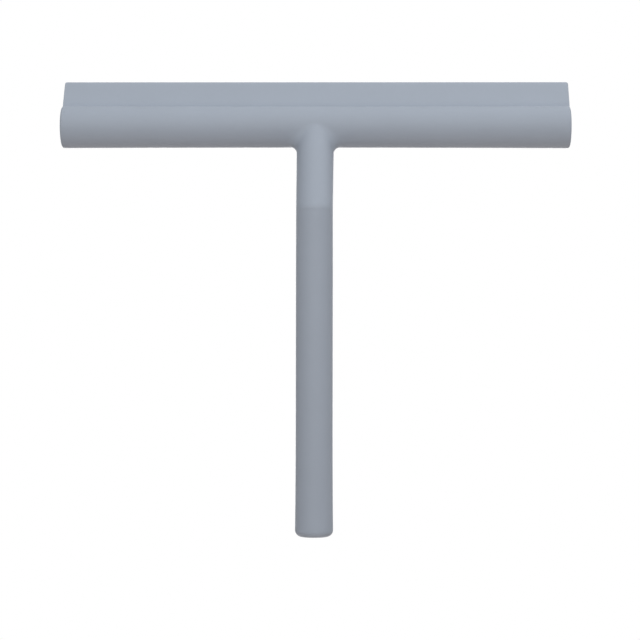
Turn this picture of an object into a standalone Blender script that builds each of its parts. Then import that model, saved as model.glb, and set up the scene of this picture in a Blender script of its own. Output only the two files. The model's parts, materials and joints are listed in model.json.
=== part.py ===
"""Shower squeegee: a round silicone bar with a wiping lip, on a neck that leans back from a straight grip.

The grip stands along +Z from the flat face of its end, the bar runs along X, and the front is -Y. The head
(bar, blade and neck) is modelled upright in its own frame on the bar's axis and is leaned back as a whole.
"""

import math

import bmesh
import bpy
from mathutils import Matrix, Vector

# Lengths are in metres. What the hand sees: bar, lip, neck and grip.
BAR_LENGTH = 0.245
BAR_RADIUS = 0.0099
BAR_SWELL = 0.00025  # the bar is this much fuller at its two ends than at the neck
BAR_END_ROUND = 0.0011
LIP_STAND = 0.0166  # from the bar's surface to the wiping edge
LIP_OVERHANG = 0.0005  # past each end of the bar
LIP_ROOT = 0.0026
LIP_TIP = 0.0012
LEAN = math.radians(30)
NECK_LENGTH = 0.0461  # along the lean, from where it meets the grip's axis to the bar's axis
NECK_RADIUS = 0.00885
NECK_TURN = 0.005  # radius of the turn into the lean, right above the seam
SECTION_TURN = 0.030  # over this stretch the neck's sections go from level to square with the lean
NECK_FILLET = 0.0054
GRIP_LENGTH = 0.1537
GRIP_RADIUS = 0.0087
SEAM_DROP = 0.00005  # the grip narrows by this much at the seam
SEAM_TAPER = 0.028  # over this length
GRIP_FLARE = 0.00027
FLARE_LENGTH = 0.070
GRIP_END_ROUND = 0.0031

# What is inside.
SKIN_WALL = 0.0022  # silicone over the rail
END_WALL = 0.003  # silicone over the rail's ends
RAIL_FLAT_DEPTH = 0.001
BEAD_RADIUS = 0.0018
WEB = 0.002
CHANNEL_COVER = 0.001  # from the top of the channel's round part to the rail's surface
ROD_RADIUS = 0.004
ROD_FLOOR = 0.0014  # rail left between the rod's socket and the channel
ROD_BEND = 0.010
ROD_REACH = 0.016  # threaded leg, from where its axis meets the neck's
ROD_CHAMFER = 0.0006
PIN_RADIUS = 0.001
PIN_WALL = 0.0004
PIN_SLOT = math.radians(50)
PIN_SETBACK = 0.0021  # from the rod's end to the pin
PIN_RECESS = 0.0002
FERRULE_HEIGHT = 0.008
TUBE_RADIUS = 0.0065
TUBE_WALL = 0.0012
INSERT_LENGTH = 0.018
INSERT_CHAMFER = 0.0005
PLUG_LENGTH = 0.009
PLUG_FLANGE = 0.0012
SLEEVE_FLOOR = 0.0037
CLEARANCE = 0.0003

# Worked out from the above. A name that ends in UP is a height along the lean, from the bar's axis.
HALF_BAR = BAR_LENGTH / 2
LIP_REACH = BAR_RADIUS + LIP_STAND
SEAM_HEIGHT = GRIP_LENGTH + CLEARANCE
SEAM_RADIUS = GRIP_RADIUS - SEAM_DROP
TURN_ARC = NECK_TURN * LEAN
TURN_TANGENT = NECK_TURN * math.tan(LEAN / 2)
CORNER_HEIGHT = SEAM_HEIGHT + TURN_TANGENT  # where the axes of grip and neck meet
FERRULE_RADIUS = TUBE_RADIUS
RAIL_RADIUS = BAR_RADIUS - SKIN_WALL - CLEARANCE
RAIL_FLAT = RAIL_RADIUS - RAIL_FLAT_DEPTH
CAVITY_HALF = HALF_BAR - END_WALL
RAIL_HALF = CAVITY_HALF - CLEARANCE
CHANNEL_RADIUS = BEAD_RADIUS + CLEARANCE
MOUTH_HALF = WEB / 2 + CLEARANCE
BEAD_UP = RAIL_RADIUS - CHANNEL_COVER - CHANNEL_RADIUS
SOCKET_UP = BEAD_UP - CHANNEL_RADIUS - ROD_FLOOR
ROD_UP = SOCKET_UP - CLEARANCE
PIN_UP = ROD_UP - PIN_SETBACK
BEND_TANGENT = ROD_BEND * math.tan(LEAN / 2)
HINGE_UP = BAR_RADIUS + BAR_SWELL + CLEARANCE + LIP_ROOT / 2
TUBE_BORE = TUBE_RADIUS - TUBE_WALL
TUBE_FOOT = SLEEVE_FLOOR + CLEARANCE + PLUG_FLANGE + CLEARANCE

OUTER_SIDES = 64
INNER_SIDES = 32
ARC_STEPS = 6
CIRCLE_STEPS = 20
TURN_STEPS = 4
NECK_STEPS = 9
TAPER_STEPS = 6
FERRULE_STEPS = 8
BEYOND = 0.002  # how far a cutter runs past what it cuts
SINK = 0.00004  # the fillet's rim lies this deep in the bar, so that the two join cleanly


def clear_scene():
    for obj in list(bpy.data.objects):
        bpy.data.objects.remove(obj, do_unlink=True)


def material(name, colour, roughness, metallic=0.0):
    made = bpy.data.materials.new(name)
    made.use_nodes = True
    shader = made.node_tree.nodes["Principled BSDF"]
    shader.inputs["Base Color"].default_value = (*colour, 1.0)
    shader.inputs["Roughness"].default_value = roughness
    shader.inputs["Metallic"].default_value = metallic
    made.diffuse_color = (*colour, 1.0)
    return made


def finished(name, mesh_data, finish=None, parent=None):
    """Closes a bmesh into an object, with its faces turned outwards and its round sides smooth."""
    bmesh.ops.remove_doubles(mesh_data, verts=mesh_data.verts, dist=1e-6)
    bmesh.ops.recalc_face_normals(mesh_data, faces=mesh_data.faces)
    mesh = bpy.data.meshes.new(name)
    mesh_data.to_mesh(mesh)
    mesh_data.free()
    mesh.shade_smooth()
    mesh.set_sharp_from_angle(angle=math.radians(35))
    made = bpy.data.objects.new(name, mesh)
    bpy.context.scene.collection.objects.link(made)
    made.parent = parent
    if finish:
        mesh.materials.append(finish)
    return made


def boolean(target, cutter, operation="DIFFERENCE"):
    """Joins or cuts with a helper that the render leaves out."""
    step = target.modifiers.new(cutter.name, "BOOLEAN")
    step.operation = operation
    step.object = cutter
    cutter.hide_render = True
    cutter.display_type = "WIRE"


def turned(name, profile, sides, finish=None, parent=None):
    """A solid of revolution about Z, of a profile that runs from axis to axis or closes on itself."""
    mesh_data = bmesh.new()
    on_axis = profile[0][0] == 0
    points = [mesh_data.verts.new((radius, 0, height)) for radius, height in profile]
    ends = points[1:] if on_axis else points[1:] + points[:1]
    edges = [mesh_data.edges.new(pair) for pair in zip(points, ends)]
    bmesh.ops.spin(
        mesh_data,
        geom=points + edges,
        cent=(0, 0, 0),
        axis=(0, 0, 1),
        angle=math.tau,
        steps=sides,
        use_merge=True,
    )
    return finished(name, mesh_data, finish, parent)


def extruded(name, outline, half_length, finish=None, parent=None):
    """A prism along X of a closed outline of (y, z) points."""
    mesh_data = bmesh.new()
    face = mesh_data.faces.new([mesh_data.verts.new((-half_length, y, z)) for y, z in outline])
    pushed = bmesh.ops.extrude_face_region(mesh_data, geom=[face])["geom"]
    moved = [part for part in pushed if isinstance(part, bmesh.types.BMVert)]
    bmesh.ops.translate(mesh_data, verts=moved, vec=(2 * half_length, 0, 0))
    return finished(name, mesh_data, finish, parent)


def lofted(name, rings, finish=None, parent=None):
    """A closed solid through rings of as many points each, capped at both ends."""
    mesh_data = bmesh.new()
    loops = [[mesh_data.verts.new(point) for point in points] for points in rings]
    for lower, upper in zip(loops, loops[1:]):
        for side in range(len(lower)):
            ahead = (side + 1) % len(lower)
            mesh_data.faces.new((lower[side], lower[ahead], upper[ahead], upper[side]))
    mesh_data.faces.new(loops[0])
    mesh_data.faces.new(loops[-1])
    return finished(name, mesh_data, finish, parent)


def arc(centre, radius, start, end, steps=ARC_STEPS):
    """Points on a circle in the plane of a profile, from one angle to another, both ends included."""
    angles = [start + (end - start) * step / steps for step in range(steps + 1)]
    return [(centre[0] + radius * math.cos(a), centre[1] + radius * math.sin(a)) for a in angles]


def round_angles(sides):
    return [math.tau * side / sides for side in range(sides)]


def ring(centre, tilt, radius, sides):
    """A circle about a point, square with the lean, or turned from that about X by the tilt."""
    turn = Matrix.Rotation(tilt, 3, "X")
    spokes = [Vector((math.cos(angle), math.sin(angle), 0)) for angle in round_angles(sides)]
    return [Vector(centre) + turn @ spoke * radius for spoke in spokes]


def neck_ring(rise, radius, sides):
    """A ring of the neck at this rise along its middle line, which turns into the lean right above the seam.

    The ring is level at the seam and below it, and square with the lean once the sections have turned.
    """
    left = LEAN - min(max(rise / NECK_TURN, 0), LEAN)
    along = rise - NECK_TURN * (LEAN - left)
    hub = Vector((0, NECK_TURN, TURN_TANGENT - NECK_LENGTH))
    centre = hub + Matrix.Rotation(left, 3, "X") @ Vector((0, -NECK_TURN, along))
    tilt = LEAN * (1 - min(max(rise / SECTION_TURN, 0), 1))
    return ring(centre, tilt, radius, sides)


def fillet_rings():
    """The rings of the fillet that a ball leaves when it rolls round the neck, under the bar."""
    rings = []
    for step in range(ARC_STEPS + 1):
        points = []
        for angle in round_angles(OUTER_SIDES):
            out = Vector((math.cos(angle), math.sin(angle), 0))
            ball = out * (NECK_RADIUS + NECK_FILLET)
            ball.z = -math.sqrt((BAR_RADIUS + NECK_FILLET) ** 2 - ball.y**2)
            to_bar = -Vector((0, ball.y, ball.z)).normalized()
            points.append(ball + (-out).slerp(to_bar, step / ARC_STEPS) * NECK_FILLET)
        rings.append(points)
    return rings


def neck_body(name, parent):
    """The neck's outside: a loft from the seam to the bar, flared by the fillet and closed in the bar."""
    highest = TURN_ARC + NECK_LENGTH - TURN_TANGENT - BAR_RADIUS - NECK_FILLET
    rises = [TURN_ARC * step / TURN_STEPS for step in range(TURN_STEPS)]
    rises += [TURN_ARC + (highest - TURN_ARC) * step / NECK_STEPS for step in range(NECK_STEPS)]
    rings = []
    for rise in rises:
        radius = SEAM_RADIUS + (NECK_RADIUS - SEAM_RADIUS) * rise / highest
        rings.append(neck_ring(rise, radius, OUTER_SIDES))
    rings += fillet_rings()
    sunk = 1 - SINK / BAR_RADIUS
    rings[-1] = [Vector((point.x, point.y * sunk, point.z * sunk)) for point in rings[-1]]
    rings.append([Vector((point.x / 2, point.y / 2, 0)) for point in rings[-1]])
    return lofted(name, rings, parent=parent)


def bar_profile():
    """The bar's half section from end to end: flat ends, rounded rims and a long shallow waist."""
    rim = (BAR_RADIUS + BAR_SWELL - BAR_END_ROUND, BAR_END_ROUND - HALF_BAR)
    end = [(0, -HALF_BAR)] + arc(rim, BAR_END_ROUND, -math.pi / 2, 0)
    shares = [2 * step / TAPER_STEPS - 1 for step in range(1, TAPER_STEPS)]
    waist = [(BAR_RADIUS + BAR_SWELL * share**2, HALF_BAR * share) for share in shares]
    return end + waist + [(radius, -height) for radius, height in reversed(end)]


def rail_outline(grow=0.0):
    """The rail's section, a round with two flats that key it in the silicone."""
    points = []
    for angle in round_angles(OUTER_SIDES):
        reach = min(RAIL_RADIUS + grow, (RAIL_FLAT + grow) / max(abs(math.cos(angle)), 1e-6))
        points.append((reach * math.cos(angle), reach * math.sin(angle)))
    return points


def keyhole_outline():
    """The channel for the blade's bead, with its mouth open past the rail's surface."""
    turn = math.asin(MOUTH_HALF / CHANNEL_RADIUS)
    top = RAIL_RADIUS + BEYOND
    lobe = arc((0, BEAD_UP), CHANNEL_RADIUS, math.pi / 2 + turn, math.tau + math.pi / 2 - turn, CIRCLE_STEPS)
    return [(-MOUTH_HALF, top)] + lobe + [(MOUTH_HALF, top)]


def rod_rings(radius, lowest, highest, chamfer=0.0):
    """Rings along the bent rod: straight up the handle's axis, a bend at the seam, straight up the neck."""
    down = Vector((0, math.sin(LEAN), -math.cos(LEAN)))
    corner = Vector((0, 0, -NECK_LENGTH))
    stations = [(corner + down * lowest, LEAN, radius - chamfer)]
    if chamfer:
        stations.append((corner + down * (lowest - chamfer), LEAN, radius))
    hub = Vector((0, ROD_BEND, -NECK_LENGTH + BEND_TANGENT))
    for step in range(ARC_STEPS + 1):
        tilt = LEAN * (1 - step / ARC_STEPS)
        stations.append((hub - Matrix.Rotation(tilt, 3, "X") @ Vector((0, ROD_BEND, 0)), tilt, radius))
    if chamfer:
        stations.append((Vector((0, 0, highest - chamfer)), 0, radius))
    stations.append((Vector((0, 0, highest)), 0, radius - chamfer))
    return [ring(centre, tilt, reach, INNER_SIDES) for centre, tilt, reach in stations]


def ferrule_rings(grow=0.0, below=0.0):
    """The ferrule follows the neck's bend. A cutter for it is grown all round and starts below the seam."""
    rises = [(FERRULE_HEIGHT + grow) * step / FERRULE_STEPS for step in range(FERRULE_STEPS + 1)]
    if below:
        rises.insert(0, -below)
    return [neck_ring(rise, FERRULE_RADIUS + grow, INNER_SIDES) for rise in rises]


def across(name, radius, half_length, parent):
    """A round cutter along Y at the pin's height."""
    mesh_data = bmesh.new()
    turn = Matrix.Translation((0, 0, PIN_UP)) @ Matrix.Rotation(math.pi / 2, 4, "X")
    bmesh.ops.create_cone(
        mesh_data,
        cap_ends=True,
        segments=CIRCLE_STEPS,
        radius1=radius,
        radius2=radius,
        depth=2 * half_length,
        matrix=turn,
    )
    return finished(name, mesh_data, parent=parent)


def make_head_skin(head, silicone):
    """Silicone over the bar's rail and the neck's rod, with the slot that the blade comes out of."""
    skin = turned("head_skin", bar_profile(), OUTER_SIDES, silicone, head)
    skin.data.transform(Matrix.Rotation(math.pi / 2, 4, "Y"))
    boolean(skin, neck_body("neck_body", head), "UNION")
    boolean(skin, extruded("rail_space", rail_outline(CLEARANCE), CAVITY_HALF, parent=head))
    top = BAR_RADIUS + BEYOND
    slot = [(-MOUTH_HALF, 0), (MOUTH_HALF, 0), (MOUTH_HALF, top), (-MOUTH_HALF, top)]
    boolean(skin, extruded("slot", slot, CAVITY_HALF, parent=head))
    boolean(skin, lofted("rod_space", rod_rings(ROD_RADIUS + CLEARANCE, ROD_REACH, SOCKET_UP), parent=head))
    boolean(skin, lofted("ferrule_space", ferrule_rings(CLEARANCE, BEYOND), parent=head))


def make_neck_ferrule(head, nylon):
    """The hard ring at the seam, moulded round the rod's bend. The handle's tube is tightened against it."""
    ferrule = lofted("neck_ferrule", ferrule_rings(), nylon, head)
    bore = lofted("ferrule_bore", rod_rings(ROD_RADIUS + CLEARANCE, ROD_REACH, SOCKET_UP), parent=head)
    boolean(ferrule, bore)


def make_blade_rail(head, nylon):
    """The stiff rail inside the bar, with a keyhole channel for the blade and a socket for the rod."""
    rail = extruded("blade_rail", rail_outline(), RAIL_HALF, nylon, head)
    boolean(rail, extruded("channel", keyhole_outline(), RAIL_HALF + BEYOND, parent=head))
    socket_space = rod_rings(ROD_RADIUS + CLEARANCE, ROD_REACH, SOCKET_UP)
    boolean(rail, lofted("rail_socket", socket_space, parent=head))
    boolean(rail, across("pin_bore", PIN_RADIUS + CLEARANCE, RAIL_RADIUS + BEYOND, head))


def make_neck_rod(head, steel):
    """The bent steel rod that carries the head: pinned in the rail above, threaded for the handle below."""
    rod = lofted("neck_rod", rod_rings(ROD_RADIUS, ROD_REACH, ROD_UP, ROD_CHAMFER), steel, head)
    boolean(rod, across("rod_pin_bore", PIN_RADIUS + CLEARANCE, ROD_RADIUS + BEYOND, head))


def make_spring_pin(head, steel):
    """A rolled pin with a slot down its side, driven through the rail and the rod from front to back."""
    widest = math.sqrt(RAIL_RADIUS**2 - (abs(PIN_UP) + PIN_RADIUS) ** 2)
    half_length = min(RAIL_FLAT, widest) - PIN_RECESS
    lips = (PIN_SLOT / 2, math.tau - PIN_SLOT / 2)
    outline = arc((0, 0), PIN_RADIUS, *lips, CIRCLE_STEPS)
    outline += arc((0, 0), PIN_RADIUS - PIN_WALL, *reversed(lips), CIRCLE_STEPS)
    pin = extruded("spring_pin", outline, half_length, steel, head)
    pin.location.z = PIN_UP
    pin.rotation_euler.z = math.pi / 2


def make_blade(head, silicone):
    """The silicone blade: a bead held in the rail, a web through the slot, and the lip that bends on it."""
    turn = math.asin(WEB / 2 / BEAD_RADIUS)
    bead = arc((0, BEAD_UP), BEAD_RADIUS, math.pi / 2 + turn, math.tau + math.pi / 2 - turn, CIRCLE_STEPS)
    cradle_radius = LIP_ROOT / 2 + CLEARANCE
    turn = math.asin(WEB / 2 / cradle_radius)
    cradle = arc((0, HINGE_UP), cradle_radius, -math.pi / 2 + turn, -math.pi / 2 - turn)
    extruded("blade_bead", bead + cradle, RAIL_HALF, silicone, head)

    reach = LIP_REACH - HINGE_UP
    edge = LIP_TIP / 4
    lip = arc((0, 0), LIP_ROOT / 2, math.pi, math.tau, CIRCLE_STEPS)
    lip += [(LIP_TIP / 2, reach - edge), (LIP_TIP / 2 - edge, reach)]
    lip += [(edge - LIP_TIP / 2, reach), (-LIP_TIP / 2, reach - edge)]
    extruded("blade_lip", lip, HALF_BAR + LIP_OVERHANG, silicone, head).location.z = HINGE_UP


def make_grip_sleeve(silicone):
    """The silicone grip, closed and rounded at its lower end, a little fuller towards it."""
    full = GRIP_RADIUS + GRIP_FLARE
    outside = [(0, 0)] + arc((full - GRIP_END_ROUND, GRIP_END_ROUND), GRIP_END_ROUND, -math.pi / 2, 0)
    for step in range(1, TAPER_STEPS + 1):
        share = step / TAPER_STEPS
        height = GRIP_END_ROUND + (FLARE_LENGTH - GRIP_END_ROUND) * share
        outside.append((GRIP_RADIUS + GRIP_FLARE * (1 - share) ** 3, height))
    outside += [(GRIP_RADIUS, GRIP_LENGTH - SEAM_TAPER), (SEAM_RADIUS, GRIP_LENGTH)]
    bore = TUBE_RADIUS + CLEARANCE
    inside = [(bore, GRIP_LENGTH), (bore, SLEEVE_FLOOR), (0, SLEEVE_FLOOR)]
    turned("grip_sleeve", outside + inside, OUTER_SIDES, silicone)


def make_handle_tube(steel):
    """The steel tube that the grip is moulded on."""
    length = GRIP_LENGTH - TUBE_FOOT
    walls = [(TUBE_BORE, 0), (TUBE_RADIUS, 0), (TUBE_RADIUS, length), (TUBE_BORE, length)]
    turned("handle_tube", walls, INNER_SIDES, steel).location.z = TUBE_FOOT


def make_thread_insert(brass):
    """The brass bush pressed into the top of the tube, which screws onto the rod's threaded leg."""
    outer = TUBE_BORE - CLEARANCE
    bore = ROD_RADIUS + CLEARANCE
    wall = [(bore, 0), (outer - INSERT_CHAMFER, 0), (outer, INSERT_CHAMFER)]
    wall += [(outer, INSERT_LENGTH), (bore, INSERT_LENGTH)]
    turned("thread_insert", wall, INNER_SIDES, brass).location.z = CORNER_HEIGHT - BEND_TANGENT - INSERT_LENGTH


def make_end_plug(nylon):
    """The plug that keeps the silicone out of the tube's foot while the grip is moulded."""
    stem = TUBE_BORE - CLEARANCE
    flange = [(0, 0), (TUBE_RADIUS, 0), (TUBE_RADIUS, PLUG_FLANGE), (stem, PLUG_FLANGE)]
    stopper = flange + [(stem, PLUG_LENGTH), (0, PLUG_LENGTH)]
    turned("end_plug", stopper, INNER_SIDES, nylon).location.z = SLEEVE_FLOOR + CLEARANCE


def main():
    clear_scene()
    silicone = material("blue_grey_silicone", (0.369, 0.415, 0.486), 0.55)
    nylon = material("filled_nylon", (0.05, 0.052, 0.055), 0.5)
    steel = material("stainless_steel", (0.62, 0.62, 0.61), 0.3, 1.0)
    brass = material("brass", (0.66, 0.48, 0.2), 0.35, 1.0)

    head = bpy.data.objects.new("head_frame", None)
    bpy.context.scene.collection.objects.link(head)
    head.location = (0, NECK_LENGTH * math.sin(LEAN), CORNER_HEIGHT + NECK_LENGTH * math.cos(LEAN))
    head.rotation_euler.x = -LEAN

    make_head_skin(head, silicone)
    make_neck_ferrule(head, nylon)
    make_blade_rail(head, nylon)
    make_neck_rod(head, steel)
    make_spring_pin(head, steel)
    make_blade(head, silicone)
    make_grip_sleeve(silicone)
    make_handle_tube(steel)
    make_thread_insert(brass)
    make_end_plug(nylon)


main()
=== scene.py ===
"""Shower squeegee: a round silicone bar with a wiping lip, on a neck that leans back from a straight grip."""

import json
import math

import bmesh
import bpy
from mathutils import Matrix, Vector


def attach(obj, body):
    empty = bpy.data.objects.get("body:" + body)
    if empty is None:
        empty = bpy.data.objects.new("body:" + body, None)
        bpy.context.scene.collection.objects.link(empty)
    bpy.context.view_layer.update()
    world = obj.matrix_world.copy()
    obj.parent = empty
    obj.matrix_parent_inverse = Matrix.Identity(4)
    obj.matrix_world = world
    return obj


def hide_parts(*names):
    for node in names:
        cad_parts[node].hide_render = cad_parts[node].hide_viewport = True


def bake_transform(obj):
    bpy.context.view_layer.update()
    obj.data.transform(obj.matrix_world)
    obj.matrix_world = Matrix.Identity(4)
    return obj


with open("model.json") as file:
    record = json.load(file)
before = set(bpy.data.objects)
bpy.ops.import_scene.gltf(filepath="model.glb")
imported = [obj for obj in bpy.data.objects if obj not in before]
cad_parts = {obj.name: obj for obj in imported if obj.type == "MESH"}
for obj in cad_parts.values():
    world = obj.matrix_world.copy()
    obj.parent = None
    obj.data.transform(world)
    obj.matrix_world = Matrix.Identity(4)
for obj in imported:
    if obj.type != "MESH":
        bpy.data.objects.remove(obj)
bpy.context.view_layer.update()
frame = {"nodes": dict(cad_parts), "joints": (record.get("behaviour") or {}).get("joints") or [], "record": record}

# The head's own frame. Bar, blade and neck are modelled upright about the bar's axis and then leaned
# back as one: +Z runs from the neck through the bar to the lip, and -Y is the front.
mounts = {mount["name"]: Vector(mount["pos_m"]) for mount in frame["record"]["mounts"]}
hinge = Vector(frame["joints"][0]["pos_m"])
half_bar = mounts["bar_end_right"].x
bar_middle = mounts["bar_end_right"] - Vector((half_bar, 0, 0))
hinge_up = (hinge - bar_middle).length
lean = math.atan2(hinge.y - bar_middle.y, hinge.z - bar_middle.z)
neck_length = bar_middle.y / math.sin(lean)
corner_height = bar_middle.z - neck_length * math.cos(lean)  # where the axes of grip and neck meet
head = Matrix.Translation(bar_middle) @ Matrix.Rotation(-lean, 4, "X")


# The rail that keeps the soft bar straight, the ring at the seam and the plug in the tube's foot.
# All three are injection moulded from dark nylon filled with short glass fibres, which leave a
# mottled, slightly hairy skin. The solids have their shapes, so they only take this finish.
NYLON = (0.050, 0.052, 0.055)
FIBRE_MARKS = (900, 5200, 5200)  # to a metre, along the rail and across it
FIBRE_DEPTH = 0.00002


class Wire:
    """One output in a sheet of nodes. Reckoning with it adds Math nodes, and node() adds any other."""

    def __init__(self, tree, end=None):
        self.tree = tree
        self.end = end

    def node(self, kind, settings, inputs):
        """Adds a node: first its settings, then the values or links of its sockets."""
        made = self.tree.nodes.new("ShaderNode" + kind)
        for name, setting in settings.items():
            setattr(made, name, setting)
        for name, value in inputs.items():
            if isinstance(value, Wire):
                self.tree.links.new(value.end, made.inputs[name])
            else:
                made.inputs[name].default_value = value
        return Wire(self.tree, made.outputs[0] if made.outputs else None)

    def out(self, name):
        """Another output of the same node."""
        return Wire(self.tree, self.end.node.outputs[name])

    def reckon(self, operation, first, second):
        """What a Math node of this operation makes of two values or links."""
        return self.node("Math", {"operation": operation}, {0: first, 1: second})

    def __add__(self, other):
        return self.reckon("ADD", self, other)

    def __sub__(self, other):
        return self.reckon("SUBTRACT", self, other)

    def __rsub__(self, other):
        return self.reckon("SUBTRACT", other, self)

    def __mul__(self, other):
        return self.reckon("MULTIPLY", self, other)

    __radd__ = __add__
    __rmul__ = __mul__

    def between(self, first, second):
        """A colour that goes from the first to the second as this value goes from 0 to 1."""
        # The sockets go by number, because a Mix node has sets of like names for numbers and for colours.
        return self.node("Mix", {"data_type": "RGBA"}, {0: self, 6: first, 7: second}).out(2)

    def noise(self, place, scale, detail):
        """Cloudy noise about 0.5, with about this many patches to a metre."""
        return self.node("TexNoise", {}, {"Vector": place, "Scale": scale, "Detail": detail})

    def bump(self, height, depth, under=None):
        """The normals of a surface that rises by this depth, in metres, as the height goes from 0 to 1."""
        inputs = {"Height": height, "Distance": depth, "Strength": 1.0}
        if under:
            inputs["Normal"] = under
        return self.node("Bump", {}, inputs)


def shade(colour, factor):
    """A colour made lighter or darker, as a socket takes it."""
    return (*(part * factor for part in colour), 1.0)


def new_finish(name):
    """An empty material with its sheet of nodes and the place of a point on its piece, in metres."""
    made = bpy.data.materials.new(name)
    made.use_nodes = True
    made.node_tree.nodes.clear()
    sheet = Wire(made.node_tree)
    return made, sheet, sheet.node("TexCoord", {}, {}).out("Object")


def close_finish(sheet, inputs):
    """Ends the sheet with the shader that takes these values and links."""
    surface = sheet.node("BsdfPrincipled", {}, inputs)
    sheet.node("OutputMaterial", {}, {"Surface": surface})


def filled_nylon():
    """Cloudy where the melt flowed, with the marks of the fibres along the rail."""
    made, sheet, place = new_finish("filled_nylon")
    flow = sheet.noise(place, 160, 3)
    fibres = sheet.node("Mapping", {}, {"Vector": place, "Scale": FIBRE_MARKS})
    hairs = sheet.noise(fibres, 1, 2)
    inputs = {
        "Base Color": (flow * 0.6 + hairs * 0.4).between(shade(NYLON, 0.75), shade(NYLON, 1.3)),
        "Roughness": flow * 0.16 + 0.42,
        "Normal": sheet.bump(hairs, FIBRE_DEPTH),
    }
    close_finish(sheet, inputs)
    return made


def dress(node, finish):
    """Gives a solid that stays in view its finish."""
    for slot in frame["nodes"][node].material_slots:
        slot.material = finish


nylon = filled_nylon()
for node in ("blade_rail", "neck_ferrule", "end_plug"):
    dress(node, nylon)


# The slotted pin that locks the rod in the rail, and the tube in the grip. Both are drawn stainless
# steel: bright, with fine lines along the way the metal was pulled.
STEEL = (0.62, 0.62, 0.61)
HANDLE_LINES = (5200, 5200, 90)  # to a metre, across the handle and along it
PIN_LINES = (5200, 90, 5200)
LINE_DEPTH = 0.000006


def drawn_steel(name, lines):
    """Bright steel with lines drawn out along one axis, as many to a metre along each as lines says."""
    made, sheet, place = new_finish(name)
    pulled = sheet.node("Mapping", {}, {"Vector": place, "Scale": lines})
    streaks = sheet.noise(pulled, 1, 3)
    clouds = sheet.noise(place, 120, 2)
    inputs = {
        "Base Color": streaks.between(shade(STEEL, 0.88), shade(STEEL, 1.08)),
        "Metallic": 1.0,
        "Roughness": streaks * 0.14 + clouds * 0.1 + 0.16,
        "Normal": sheet.bump(streaks, LINE_DEPTH),
    }
    close_finish(sheet, inputs)
    return made


steel = drawn_steel("drawn_steel", HANDLE_LINES)
dress("handle_tube", steel)
dress("spring_pin", drawn_steel("rolled_steel", PIN_LINES))


# The rod that carries the head, bent from the same drawn steel. Its top is cross-bored for the pin.
# A right-hand thread is cut on its lower leg, from the chamfered end to just under the bend.
ROD_RADIUS = 0.004
ROD_LOW = 0.016  # how far the lower leg runs below the corner, where grip and neck meet
ROD_TOP = 0.0005  # above the bar's axis
ROD_BEND = 0.010
ROD_CHAMFER = 0.0006
PIN_BORE = 0.0013
PIN_UP = -0.0016
THREAD_PITCH = 0.00125
THREAD_DEPTH = 0.00068
THREAD_FORM = ((0, 1), (1 / 8, 1), (7 / 16, 0), (11 / 16, 0))  # a turn's rows, in pitches and depths
THREAD_BELOW = 0.0034  # from the corner down to the thread's upper end

ROD_SIDES = 64
BEND_STEPS = 16
SAME_PLACE = 1e-7  # points closer than this are one
SHARP = math.radians(35)  # edges that turn by more stay sharp


def solid(name, body, finish=None):
    """Puts a bmesh into the scene as an object, with its faces turned outwards."""
    bmesh.ops.recalc_face_normals(body, faces=body.faces)
    mesh = bpy.data.meshes.new(name)
    body.to_mesh(mesh)
    body.free()
    if finish:
        mesh.materials.append(finish)
    made = bpy.data.objects.new(name, mesh)
    bpy.context.scene.collection.objects.link(made)
    return made


def smooth(piece):
    """Shades a piece smooth, apart from its sharp edges."""
    piece.data.shade_smooth()
    piece.data.set_sharp_from_angle(angle=SHARP)


def bridge(body, lower, upper):
    """A band of four-sided faces between two closed rings of as many points."""
    count = len(lower)
    for side in range(count):
        ahead = (side + 1) % count
        body.faces.new((lower[side], lower[ahead], upper[ahead], upper[side]))


def tube(rings):
    """A closed body through rings of as many points each, with a flat face at both ends."""
    body = bmesh.new()
    loops = [[body.verts.new(point) for point in points] for points in rings]
    for lower, upper in zip(loops, loops[1:]):
        bridge(body, lower, upper)
    body.faces.new(loops[0])
    body.faces.new(loops[-1])
    return body


def carve(piece, tool, operation="DIFFERENCE"):
    """Cuts or joins one closed mesh with another for good, and takes the tool away."""
    step = piece.modifiers.new(tool.name, "BOOLEAN")
    step.operation = operation
    step.object = tool
    shape = piece.evaluated_get(bpy.context.evaluated_depsgraph_get())
    cut = bpy.data.meshes.new_from_object(shape)
    piece.modifiers.clear()
    piece.data = cut
    bpy.data.objects.remove(tool)


def round_angles(sides):
    """Even steps of angle, once round."""
    return [math.tau * side / sides for side in range(sides)]


def ring(centre, tilt, radius, sides):
    """A circle of points about a centre, level, or turned about X by the tilt."""
    turn = Matrix.Rotation(tilt, 3, "X")
    spokes = [turn @ Vector((math.cos(angle), math.sin(angle), 0)) for angle in round_angles(sides)]
    return [Vector(centre) + spoke * radius for spoke in spokes]


def thread(body, low, high, root, foot, top):
    """Winds a thread round the handle's axis from one height to another, and gives its two end rings.

    Its rows of points climb with it. Past its ends they lie on the end rings, whose radii are foot and top,
    and weld() joins them once the body is whole. Near both it fades at 45 degrees.
    """
    rows = []
    for turn in range(math.floor(low / THREAD_PITCH) - 1, math.ceil(high / THREAD_PITCH) + 1):
        for share, lift in THREAD_FORM:
            row = []
            for angle in round_angles(ROD_SIDES):
                z = min(max((turn + share + angle / math.tau) * THREAD_PITCH, low), high)
                reach = root + THREAD_DEPTH * lift
                for end, rise in ((foot, z - low), (top, high - z)):
                    reach = min(max(reach, end - rise), end + rise)
                row.append(body.verts.new((reach * math.cos(angle), reach * math.sin(angle), z)))
            rows.append(row)
    for lower, upper in zip(rows, rows[1:]):
        for side in range(ROD_SIDES - 1):
            body.faces.new((lower[side], lower[side + 1], upper[side + 1], upper[side]))
    # A row's last point is followed by the first of the row that lies one turn on.
    next_turn = rows[len(THREAD_FORM) :]
    for lower, upper, next_lower, next_upper in zip(rows, rows[1:], next_turn, next_turn[1:]):
        body.faces.new((lower[-1], next_lower[0], next_upper[0], upper[-1]))
    return rows[0], rows[-1]


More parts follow.
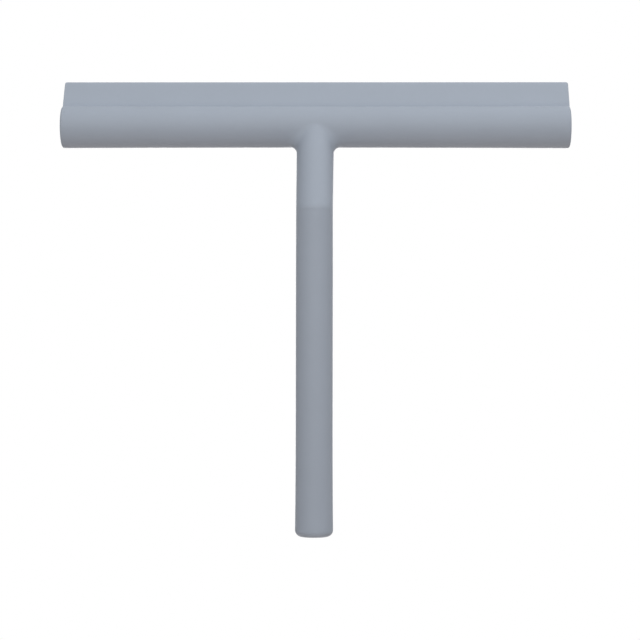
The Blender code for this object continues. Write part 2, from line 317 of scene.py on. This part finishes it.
def weld(body):
    """Makes one point of those at the same place."""
    bmesh.ops.remove_doubles(body, verts=body.verts, dist=SAME_PLACE)
    return body


def bend_rings(radius, sides):
    """Rings of the rod's way through its bend, from the grip's axis up to the neck's, in the head's frame."""
    rings = []
    hub = Vector((0, ROD_BEND, ROD_BEND * math.tan(lean / 2) - neck_length))
    for step in range(BEND_STEPS + 1):
        tilt = lean * (1 - step / BEND_STEPS)
        inward = Matrix.Rotation(tilt, 3, "X") @ Vector((0, ROD_BEND, 0))
        rings.append(ring(hub - inward, tilt, radius, sides))
    return rings


def rod_body():
    """The threaded leg, the bend and the upper leg with its chamfered end."""
    body = bmesh.new()
    root = ROD_RADIUS - THREAD_DEPTH
    low, high = corner_height - ROD_LOW, corner_height - THREAD_BELOW
    foot, run_out = thread(body, low, high, root, root, ROD_RADIUS)
    rings = bend_rings(ROD_RADIUS, ROD_SIDES)
    rings.append(ring((0, 0, ROD_TOP - ROD_CHAMFER), 0, ROD_RADIUS, ROD_SIDES))
    rings.append(ring((0, 0, ROD_TOP), 0, ROD_RADIUS - ROD_CHAMFER, ROD_SIDES))
    loops = [run_out] + [[body.verts.new(head @ point) for point in points] for points in rings]
    for lower, upper in zip(loops, loops[1:]):
        bridge(body, lower, upper)
    body.faces.new(foot)
    body.faces.new(loops[-1])
    return weld(body)


def pin_space():
    """The bore for the pin, from front to back through the rod's top."""
    turns = round_angles(ROD_SIDES)
    section = [(PIN_BORE * math.cos(turn), PIN_UP + PIN_BORE * math.sin(turn)) for turn in turns]
    reach = 1.5 * ROD_RADIUS  # well out of the rod
    return solid("pin_space", tube([[head @ Vector((x, y, z)) for x, z in section] for y in (-reach, reach)]))


rod = solid("threaded_rod", rod_body(), steel)
carve(rod, pin_space())
smooth(rod)
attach(rod, "holder")
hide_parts("neck_rod")


# The bush that is pressed into the top of the tube and takes the rod's thread. It is turned from brass
# bar, so fine rings run round it. It is knurled where the tube holds it, and tapped below a plain mouth.
BRASS = (0.66, 0.48, 0.20)
TOOL_RINGS = (60, 60, 7000)  # to a metre, across the bush and along it
RING_DEPTH = 0.000008
BUSH_RADIUS = 0.005
BUSH_LENGTH = 0.018
BUSH_CHAMFER = 0.0005
BUSH_BORE = 0.0043  # radius of its mouth, and at the bottom of its thread
BUSH_MOUTH = 0.0013  # height of its plain mouth, in which the rod's own thread runs out
KNURL_DEPTH = 0.0002
KNURL_FOOT = 0.0032  # from the bush's lower end
KNURL_TOP = 0.0016  # from its upper end
MOUTH_CHAMFER = 0.00025


def bush_body():
    """The thread inside, and outside a chamfered foot, a plain band, the knurl and a plain rim."""
    body = bmesh.new()
    high = corner_height - ROD_BEND * math.tan(lean / 2)
    low = high - BUSH_LENGTH
    foot, tapped = thread(body, low, high - BUSH_MOUTH, BUSH_BORE - THREAD_DEPTH, BUSH_BORE, BUSH_BORE)
    band = BUSH_RADIUS - KNURL_DEPTH
    wall = [
        (band - BUSH_CHAMFER, low, 0),
        (band, low + BUSH_CHAMFER, 0),
        (band, low + KNURL_FOOT, 0),
        (band, low + KNURL_FOOT + KNURL_DEPTH, KNURL_DEPTH),
        (band, high - KNURL_TOP - KNURL_DEPTH, KNURL_DEPTH),
        (band, high - KNURL_TOP, 0),
        (band, high - MOUTH_CHAMFER, 0),
        (band - MOUTH_CHAMFER, high, 0),
        (BUSH_BORE, high, 0),
    ]
    loops = [foot]
    for radius, height, ridge in wall:
        points = []
        for side, angle in enumerate(round_angles(ROD_SIDES)):
            reach = radius + ridge * (side % 2)
            points.append(body.verts.new((reach * math.cos(angle), reach * math.sin(angle), height)))
        loops.append(points)
    loops.append(tapped)
    for lower, upper in zip(loops, loops[1:]):
        bridge(body, lower, upper)
    return weld(body)


def turned_brass():
    """Brass with the rings of the turning tool and a light, cloudy tarnish."""
    made, sheet, place = new_finish("turned_brass")
    rings = sheet.noise(sheet.node("Mapping", {}, {"Vector": place, "Scale": TOOL_RINGS}), 1, 2)
    tarnish = sheet.noise(place, 260, 3)
    inputs = {
        "Base Color": tarnish.between(shade(BRASS, 0.78), shade(BRASS, 1.08)),
        "Metallic": 1.0,
        "Roughness": rings * 0.12 + tarnish * 0.14 + 0.18,
        "Normal": sheet.bump(rings, RING_DEPTH),
    }
    close_finish(sheet, inputs)
    return made


bush = solid("threaded_bush", bush_body(), turned_brass())
smooth(bush)
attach(bush, "holder")
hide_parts("thread_insert")


# The skin of bar and neck: one matt blue-grey silicone moulding over the rail and the rod. The neck
# starts square with the grip, turns tightly into the lean, and runs into the round bar by an even
# fillet. The bar is a touch fuller at its ends, and a slot along its top lets the blade out.
SILICONE = (0.369, 0.415, 0.486)
GRAIN_DEPTH = 0.000012
MOTTLE_DEPTH = 0.00002
BAR_RADIUS = 0.0099
BAR_SWELL = 0.00025  # how much fuller the bar is at its two ends
BAR_END_ROUND = 0.0011
NECK_RADIUS = 0.00885
SEAM_RADIUS = 0.00865
NECK_TURN = 0.005  # radius of the turn into the lean
SECTION_TURN = 0.030  # over this stretch the neck's sections go from level to square with the lean
NECK_FILLET = 0.0054
SEAM_EDGE = 0.00003  # the fine chamfer on both edges of the seam
SEAM_GAP = 0.00001  # between the neck's foot and the grip
NECK_EASE = 1.6  # above 1, the neck's rings lie closer at the seam
RIM_EASE = 6  # the higher, the later they take the slant of the fillet's foot

ROUND_BAR = 96  # sides of the bar
PATCH_SIDES = 43  # of these, the ones that the neck's foot takes up
PATCH_STEPS = 51  # steps along the bar over the neck's foot
PATCH_HALF = 0.018
LONG_STEPS = 32  # steps along the bar from the neck's foot to each end
EDGE_STEPS = 8
FILLET_STEPS = 12
SKIRT_STEPS = 4  # rings between the fillet's rim and the edge of the neck's foot
NECK_STEPS = 48
NECK_SIDES = 2 * (PATCH_SIDES + PATCH_STEPS)


def silicone():
    """Silicone moulded in a spark-eroded tool: matt, even, with a fine grain and a faint handled bloom."""
    made, sheet, place = new_finish("blue_grey_silicone")
    bloom = sheet.noise(place, 45, 3)
    mottle = sheet.noise(place, 420, 2)
    grain = sheet.noise(place, 7500, 2)
    edge_wear_highlight = sheet.node("Attribute", {"attribute_name": "edge_wear_highlight"}, {}).out("Fac")
    tone = (bloom * 0.65 + mottle * 0.25 + grain * 0.10).between(shade(SILICONE, 0.95), shade(SILICONE, 1.05))
    inputs = {
        # Near the wiping edge the colour is lighter: partly wear, partly a painted highlight along the edge.
        "Base Color": (edge_wear_highlight * 0.5).between(tone, shade(SILICONE, 1.06)),
        "Roughness": bloom * 0.10 + mottle * 0.06 + 0.50 - edge_wear_highlight * 0.12,
        "Specular IOR Level": 0.35,
        "Normal": sheet.bump(grain, GRAIN_DEPTH, under=sheet.bump(mottle, MOTTLE_DEPTH)),
    }
    close_finish(sheet, inputs)
    return made


soft_silicone = silicone()
turn_tangent = NECK_TURN * math.tan(lean / 2)
seam_height = corner_height - turn_tangent


def on_bar(x, around, radius):
    """A point of the bar, the angle measured from its top towards the back."""
    return Vector((x, radius * math.sin(around), radius * math.cos(around)))


def bar_radius(x):
    """The bar's radius at this distance from its middle."""
    return BAR_RADIUS + BAR_SWELL * (x / half_bar) ** 2


def bar_stations():
    """Places along the bar as x and radius: round rim, shallow waist, fine steps at the neck, and back."""
    inner = half_bar - BAR_END_ROUND
    steps = [PATCH_HALF + (inner - PATCH_HALF) * step / LONG_STEPS for step in range(LONG_STEPS + 1)]
    half = [(x, bar_radius(x)) for x in steps]
    full = BAR_RADIUS + BAR_SWELL - BAR_END_ROUND
    for step in range(1, EDGE_STEPS + 1):
        angle = math.pi / 2 * step / EDGE_STEPS
        half.append((inner + BAR_END_ROUND * math.sin(angle), full + BAR_END_ROUND * math.cos(angle)))
    across = [PATCH_HALF * (2 * step / PATCH_STEPS - 1) for step in range(1, PATCH_STEPS)]
    middle = [(x, bar_radius(x)) for x in across]
    return [(-x, radius) for x, radius in reversed(half)] + middle + half


def foot_angles():
    """Angles about the neck, one for each point on the edge of its foot on the bar."""
    start = -math.pi * PATCH_SIDES / NECK_SIDES
    return [start + math.tau * side / NECK_SIDES for side in range(NECK_SIDES)]


def ball_centre(angle):
    """Where the fillet's ball lies when it touches both the neck, at this angle, and the bar."""
    out = Vector((math.cos(angle), math.sin(angle), 0)) * (NECK_RADIUS + NECK_FILLET)
    out.z = -math.sqrt((BAR_RADIUS + NECK_FILLET) ** 2 - out.y**2)
    return out


def fillet_point(angle, share):
    """A point of the fillet, from the neck at share 0 to the bar at share 1."""
    ball = ball_centre(angle)
    to_neck = -Vector((math.cos(angle), math.sin(angle), 0))
    to_bar = -Vector((0, ball.y, ball.z)).normalized()
    return ball + to_neck.slerp(to_bar, share) * NECK_FILLET


def neck_point(rise, angle, radius):
    """A point of the neck at this rise along its middle line, which turns into the lean above the seam."""
    left = lean - min(max(rise / NECK_TURN, 0), lean)
    hub = Vector((0, NECK_TURN, turn_tangent - neck_length))
    along = rise - NECK_TURN * (lean - left)
    centre = hub + Matrix.Rotation(left, 3, "X") @ Vector((0, -NECK_TURN, along))
    tilt = lean * (1 - min(max(rise / SECTION_TURN, 0), 1))
    spoke = Vector((math.cos(angle), math.sin(angle), 0)) * radius
    return centre + Matrix.Rotation(tilt, 3, "X") @ spoke


def neck_ring(share):
    """A ring of the neck, from the seam at share 0 to the fillet's foot at share 1."""
    whole = NECK_TURN * lean + neck_length - turn_tangent
    straight = whole - BAR_RADIUS - NECK_FILLET
    points = []
    for angle in foot_angles():
        reach = whole + ball_centre(angle).z
        rise = straight * share**NECK_EASE + (reach - straight) * share**RIM_EASE
        radius = SEAM_RADIUS + (NECK_RADIUS - SEAM_RADIUS) * min(rise / straight, 1)
        points.append(neck_point(rise, angle, radius))
    return points


def head_body():
    """The closed outside of bar and neck, with every ring of the neck ending on points of the bar."""
    body = bmesh.new()
    stations = bar_stations()
    count = len(stations)
    first, last = (count - 1 - PATCH_STEPS) // 2, (count - 1 + PATCH_STEPS) // 2
    low, high = (ROUND_BAR - PATCH_SIDES) // 2, (ROUND_BAR + PATCH_SIDES) // 2
    turns = [math.tau * (side + 0.5) / ROUND_BAR for side in range(ROUND_BAR)]

    # The bar, with a hole under it for the neck's foot.
    grid = {}
    for row, (x, radius) in enumerate(stations):
        for side, around in enumerate(turns):
            if not (first < row < last and low < side < high):
                grid[row, side] = body.verts.new(on_bar(x, around, radius))
    for row in range(count - 1):
        for side in range(ROUND_BAR):
            if first <= row < last and low <= side < high:
                continue
            ahead = (side + 1) % ROUND_BAR
            corners = ((row, side), (row, ahead), (row + 1, ahead), (row + 1, side))
            body.faces.new([grid[corner] for corner in corners])
    for row in (0, count - 1):
        body.faces.new([grid[row, side] for side in range(ROUND_BAR)])

    # From the hole's edge in to the fillet's rim, down the fillet and down the neck to the seam.
    edge = [(last, side) for side in range(high, low, -1)]
    edge += [(row, low) for row in range(last, first, -1)]
    edge += [(first, side) for side in range(low, high)]
    edge += [(row, high) for row in range(first, last)]
    angles = foot_angles()
    rim = [fillet_point(angle, 1) for angle in angles]
    rings = []
    for step in range(1, SKIRT_STEPS):
        share = step / SKIRT_STEPS
        points = []
        for (row, side), point in zip(edge, rim):
            x = stations[row][0] * (1 - share) + point.x * share
            spread = math.atan2(-point.y, -point.z)
            around = turns[side] * (1 - share) + (math.pi + spread) * share
            points.append(on_bar(x, around, bar_radius(x)))
        rings.append(points)
    for step in range(FILLET_STEPS, 0, -1):
        rings.append([fillet_point(angle, step / FILLET_STEPS) for angle in angles])
    for step in range(NECK_STEPS, 0, -1):
        rings.append(neck_ring(step / NECK_STEPS))
    lowest = neck_ring(0)
    middle = sum(lowest, Vector()) / NECK_SIDES
    up_grip = Matrix.Rotation(lean, 3, "X") @ Vector((0, 0, 1))
    rings.append([point + up_grip * SEAM_EDGE for point in lowest])
    rings.append([point + (middle - point).normalized() * SEAM_EDGE for point in lowest])

    loops = [[grid[corner] for corner in edge]]
    loops += [[body.verts.new(point) for point in points] for points in rings]
    for lower, upper in zip(loops, loops[1:]):
        bridge(body, lower, upper)
    body.faces.new(loops[-1])
    return body


# Its inside: the space for the rail, the slot for the blade, and the spaces for rod and ferrule.
RAIL_SPACE = 0.0077
RAIL_SPACE_FLAT = 0.0067
SLOT_HALF = 0.0013
SLOT_CHAMFER = 0.0002  # on both edges of the slot where the bar is slimmest
SLOT_REACH = 0.002  # how far the cutter for it flares past the bar
END_WALL = 0.003
ROD_SPACE = 0.0043
ROD_HIGH = 0.0008  # above the bar's axis
FERRULE_SPACE = 0.0068
FERRULE_HIGH = 0.0083
FERRULE_LOW = 0.002  # how far the cutter for it starts below the seam


def prism(name, outline, half_length):
    """A bar along X, of a closed outline of points in Y and Z."""
    return solid(name, tube([[Vector((x, y, z)) for y, z in outline] for x in (-half_length, half_length)]))


def rail_space():
    """A round with two flats, which keep the rail from turning."""
    points = []
    for angle in round_angles(ROUND_BAR):
        across = RAIL_SPACE * abs(math.cos(angle))
        reach = RAIL_SPACE * RAIL_SPACE_FLAT / max(across, RAIL_SPACE_FLAT)
        points.append((reach * math.cos(angle), reach * math.sin(angle)))
    return prism("rail_space", points, half_bar - END_WALL)


def slot_space():
    """The way out for the blade's web, widened by a chamfer at the bar's surface."""
    edge = BAR_RADIUS - SLOT_CHAMFER
    right = [(SLOT_HALF, 0), (SLOT_HALF, edge), (SLOT_HALF + SLOT_REACH, edge + SLOT_REACH)]
    return prism("slot_space", right + [(-y, z) for y, z in reversed(right)], half_bar - END_WALL)


def rod_space():
    """The bent way of the rod: down the grip's axis, a bend at the seam, and up the neck."""
    down = Vector((0, math.sin(lean), -math.cos(lean)))
    rings = [ring(down * ROD_LOW - Vector((0, 0, neck_length)), lean, ROD_SPACE, NECK_SIDES)]
    rings += bend_rings(ROD_SPACE, NECK_SIDES)
    rings.append(ring((0, 0, ROD_HIGH), 0, ROD_SPACE, NECK_SIDES))
    return solid("rod_space", tube(rings))


def ferrule_space():
    """The seat of the ring at the seam, which follows the neck's turn."""
    rings = []
    for rise in [-FERRULE_LOW] + [FERRULE_HIGH * step / BEND_STEPS for step in range(BEND_STEPS + 1)]:
        rings.append([neck_point(rise, angle, FERRULE_SPACE) for angle in round_angles(NECK_SIDES)])
    return solid("ferrule_space", tube(rings))


head_skin = solid("bar_and_neck", head_body(), soft_silicone)
for space in (rail_space(), slot_space(), rod_space(), ferrule_space()):
    carve(head_skin, space)
smooth(head_skin)
head_skin.data.transform(head)
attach(head_skin, "holder")
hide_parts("head_skin")


# The wiper blade, one strip of silicone. A round bead holds it in the rail, a web comes up through
# the slot, and the lip above it thins to the wiping edge. The lip is drawn in at its foot, where the real blade
# flexes.
LIP_REACH = 0.0265  # from the bar's axis to the wiping edge
LIP_FOOT = 0.01025  # heights of the blade are from the bar's axis
LIP_FULL = 0.0146  # from here the lip tapers evenly to its edge
LIP_HALF_FULL = 0.0014
LIP_HALF_TIP = 0.0006
LIP_WAIST = 0.0009  # drawn in by this much at the foot
TIP_ROUND = 0.00028
LIP_OVERHANG = 0.0005  # past each end of the bar
CORNER = 0.00105  # round corners of the lip, seen from the front
END_EDGE = 0.00025  # round edges of its two ends, less than TIP_ROUND, so that the tip doesn't fold there
BEAD_RADIUS = 0.0018
BEAD_UP = 0.0043
BEAD_SHORT = 0.0003  # shorter than the slot by this at each end
WEB_HALF = 0.001
WEB_SHOULDER = 0.0097  # the web is full up to here, and then narrows to the lip's foot
WEB_HALF_TOP = 0.0007
WEAR_HIGHLIGHT_START = 0.0016  # from the wiping edge, where the band of wear and painted highlight begins
WEAR_HIGHLIGHT_SPAN = 0.0012  # and over this stretch it grows to its full

FOOT_ROWS = 14
LIP_ROWS = 14
TIP_ROWS = 4
CORNER_STEPS = 14
LIP_COLUMNS = 40


def lip_outline():
    """Half of the lip's section as points (y, z), from the middle of its foot to the middle of its edge."""
    shoulder = LIP_REACH - TIP_ROUND  # where the taper ends and the round of the edge begins
    slope = (LIP_HALF_TIP - LIP_HALF_FULL) / (shoulder - LIP_FULL)
    heights = [LIP_FOOT + (LIP_FULL - LIP_FOOT) * step / FOOT_ROWS for step in range(FOOT_ROWS)]
    heights += [LIP_FULL + (shoulder - LIP_FULL) * step / LIP_ROWS for step in range(LIP_ROWS + 1)]
    points = [(0, LIP_FOOT)]
    for height in heights:
        drawn = LIP_WAIST * (max(LIP_FULL - height, 0) / (LIP_FULL - LIP_FOOT)) ** 2
        points.append((LIP_HALF_FULL + slope * (height - LIP_FULL) - drawn, height))
    for step in range(1, TIP_ROWS + 1):
        angle = math.pi / 2 * step / TIP_ROWS
        y = LIP_HALF_TIP - TIP_ROUND + TIP_ROUND * math.cos(angle)
        points.append((y, shoulder + TIP_ROUND * math.sin(angle)))
    return points + [(0, LIP_REACH)]


def inset(outline, depth):
    """The same closed outline, every point moved inwards, square to the line through its neighbours."""
    moved = []
    for before, point, after in zip(outline[-1:] + outline, outline, outline[1:] + outline[:1]):
        along = Vector(after) - Vector(before)
        inward = Vector((-along.y, along.x)).normalized()
        moved.append(Vector(point) + inward * depth)
    return moved


def lip_body():
    """The lip from end to end, with round corners seen from the front and round edges seen from above."""
    half = half_bar + LIP_OVERHANG
    right_side = lip_outline()
    outline = right_side + [(-y, z) for y, z in right_side[-2:0:-1]]
    inner = half - CORNER
    columns = [(inner * (2 * step / LIP_COLUMNS - 1), 0.0, 0.0) for step in range(LIP_COLUMNS + 1)]
    for step in range(1, CORNER_STEPS + 1):
        angle = math.pi / 2 * step / CORNER_STEPS
        x = inner + CORNER * math.sin(angle)
        past = max(x - (half - END_EDGE), 0.0)
        depth = END_EDGE - math.sqrt(max(END_EDGE**2 - past**2, 0.0))
        drop = CORNER * (1 - math.cos(angle))
        columns.append((x, drop, depth))
        columns.insert(0, (-x, drop, depth))
    rings = []
    for x, drop, depth in columns:
        shape = [(y, z - drop * (z - LIP_FOOT) / (LIP_REACH - LIP_FOOT)) for y, z in outline]
        rings.append([Vector((x, point.x, point.y)) for point in inset(shape, depth)])
    return tube(rings)


def bead_and_web():
    """The part in the bar: the bead, open at its top, and the web that narrows to the lip's foot."""
    opening = math.asin(WEB_HALF / BEAD_RADIUS)
    sweep = math.tau - 2 * opening
    turns = [math.pi / 2 + opening + sweep * step / ROUND_BAR for step in range(ROUND_BAR + 1)]
    points = [(BEAD_RADIUS * math.cos(turn), BEAD_UP + BEAD_RADIUS * math.sin(turn)) for turn in turns]
    right = [(WEB_HALF, WEB_SHOULDER), (WEB_HALF_TOP, LIP_FOOT), (WEB_HALF_TOP, hinge_up)]
    points += right + [(-y, z) for y, z in reversed(right)]
    return prism("bead", points, half_bar - END_WALL - BEAD_SHORT)


blade = solid("wiper_blade", lip_body(), soft_silicone)
carve(blade, bead_and_web(), "UNION")
# The band along the wiping edge. It is lighter in colour, partly from wear and partly as a painted highlight.
wear_highlight_layer = blade.data.attributes.new("edge_wear_highlight", "FLOAT", "POINT")
for point, edge_wear_highlight in zip(blade.data.vertices, wear_highlight_layer.data):
    edge_wear_highlight.value = min(max((point.co.z - (LIP_REACH - WEAR_HIGHLIGHT_START)) / WEAR_HIGHLIGHT_SPAN, 0.0), 1.0)
smooth(blade)
blade.data.transform(head)
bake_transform(blade)
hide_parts("blade_bead", "blade_lip")


# The grip: a straight round sleeve of the same silicone over the tube. It is a touch fuller towards its
# rounded, closed end, and a touch slimmer at the seam.
GRIP_RADIUS = 0.0087
GRIP_FLARE = 0.00027  # how much fuller the grip is at its end
FLARE_LENGTH = 0.070
SEAM_TAPER = 0.028  # length of the taper to the seam
GRIP_END_ROUND = 0.0031
GRIP_BORE = 0.0068
GRIP_FLOOR = 0.0037

GRIP_SIDES = 128
ROUND_STEPS = 12
FLARE_STEPS = 24
STRAIGHT_STEPS = 12


def grip_profile():
    """Radius and height, from the middle of the flat end over the outside and down the bore to its floor."""
    full = GRIP_RADIUS + GRIP_FLARE
    top = seam_height - SEAM_GAP
    points = []
    for step in range(ROUND_STEPS + 1):
        angle = math.pi / 2 * step / ROUND_STEPS
        across = full - GRIP_END_ROUND + GRIP_END_ROUND * math.sin(angle)
        points.append((across, GRIP_END_ROUND * (1 - math.cos(angle))))
    for step in range(1, FLARE_STEPS + 1):
        share = step / FLARE_STEPS
        height = GRIP_END_ROUND + (FLARE_LENGTH - GRIP_END_ROUND) * share
        points.append((GRIP_RADIUS + GRIP_FLARE * (1 - share) ** 3, height))
    taper = top - SEAM_TAPER
    for step in range(1, STRAIGHT_STEPS + 1):
        points.append((GRIP_RADIUS, FLARE_LENGTH + (taper - FLARE_LENGTH) * step / STRAIGHT_STEPS))
    points += [(SEAM_RADIUS, top - SEAM_EDGE), (SEAM_RADIUS - SEAM_EDGE, top)]
    return points + [(GRIP_BORE, top), (GRIP_BORE, GRIP_FLOOR)]


rings = [ring((0, 0, height), 0, radius, GRIP_SIDES) for radius, height in grip_profile()]
grip = solid("grip", tube(rings), soft_silicone)
smooth(grip)
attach(grip, "holder")
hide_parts("grip_sleeve")


# The floor, far below the hanging squeegee. It is a pale board that throws some light back up, and
# the eye sees it, and the world round it, as white.
WHITE = (1.0, 1.0, 1.0, 1.0)
BOARD = (0.71, 0.64, 0.60, 1.0)
SKY = (0.235, 0.235, 0.235, 1.0)
FLOOR_RADIUS = 2.5
FLOOR_HEIGHT = -0.5
FLOOR_SIDES = 64


def floor_disc():
    """A round, level board."""
    body = bmesh.new()
    bmesh.ops.create_circle(body, cap_ends=True, segments=FLOOR_SIDES, radius=FLOOR_RADIUS)
    disc = solid("floor", body)
    disc.location.z = FLOOR_HEIGHT
    return disc


def white_to_the_eye(sheet):
    """1 for what the camera, a reflection or a clear piece sees, and 0 for the light that surfaces get."""
    rays = sheet.node("LightPath", {}, {})
    seen = rays.out("Is Camera Ray") + rays.out("Is Glossy Ray") + rays.out("Is Transmission Ray")
    return seen.reckon("MINIMUM", seen, 1.0)


floor = floor_disc()
pale, sheet, _ = new_finish("pale_floor")
board = sheet.node("BsdfDiffuse", {}, {"Color": BOARD})
lift = sheet.node("Emission", {}, {"Color": WHITE, "Strength": white_to_the_eye(sheet)})
sheet.node("OutputMaterial", {}, {"Surface": sheet.node("AddShader", {}, {0: board, 1: lift})})
floor.data.materials.append(pale)

world = bpy.data.worlds.new("studio")
world.use_nodes = True
world.node_tree.nodes.clear()
sky = Wire(world.node_tree)
shown = white_to_the_eye(sky).between(SKY, WHITE)
background = sky.node("Background", {}, {"Color": shown, "Strength": 1.0})
sky.node("OutputWorld", {}, {"Surface": background})
bpy.context.scene.world = world


# The soft studio lamps. The one behind lights only the back.
LAMP_REACH = 1.2  # from the bar's middle to each lamp
LAMP_MIDDLE = 0.2  # height of the point that the lamps are turned to


def softbox(name, elevation, side, level, width, height):
    """A flat white lamp that lights a surface facing it to this level, where 1 shows white as white.

    It stands at these angles, in degrees, above the level and round from the front, unseen by the camera.
    """
    lamp = bpy.data.lights.new(name, "AREA")
    lamp.shape = "RECTANGLE"
    lamp.size = width
    lamp.size_y = height
    lamp.energy = level * (math.pi * LAMP_REACH) ** 2
    turn = Matrix.Rotation(math.radians(side), 4, "Z") @ Matrix.Rotation(math.radians(90 - elevation), 4, "X")
    made = bpy.data.objects.new(name, lamp)
    made.visible_camera = False
    away = Matrix.Translation((0, 0, LAMP_REACH))
    made.matrix_world = Matrix.Translation((0, 0, LAMP_MIDDLE)) @ turn @ away
    bpy.context.scene.collection.objects.link(made)


softbox("front", elevation=20, side=0, level=0.605, width=1.4, height=1.0)
softbox("above", elevation=80, side=0, level=0.29, width=1.4, height=1.4)
softbox("right", elevation=50, side=90, level=0.24, width=1.0, height=1.0)
softbox("behind", elevation=5, side=180, level=0.45, width=0.8, height=0.8)


# The camera, level, nearly a metre in front of the grip and a touch to its right.
DISTANCE = 0.960
HEIGHT = 0.1021
ASIDE = 0.00266
TURNED = math.radians(0.9)
ROLLED = math.radians(0.088)
SENSOR = 36  # this and the lens are in millimetres
LENS = 114.5
eye = bpy.data.cameras.new("camera")
eye.sensor_width = SENSOR
eye.lens = LENS
camera = bpy.data.objects.new("camera", eye)
view = Matrix.Rotation(TURNED, 4, "Z") @ Matrix.Translation((ASIDE, -DISTANCE, HEIGHT))
camera.matrix_world = view @ Matrix.Rotation(math.radians(90), 4, "X") @ Matrix.Rotation(ROLLED, 4, "Z")
bpy.context.scene.collection.objects.link(camera)
bpy.context.scene.camera = camera
bpy.context.scene.view_settings.view_transform = "Standard"
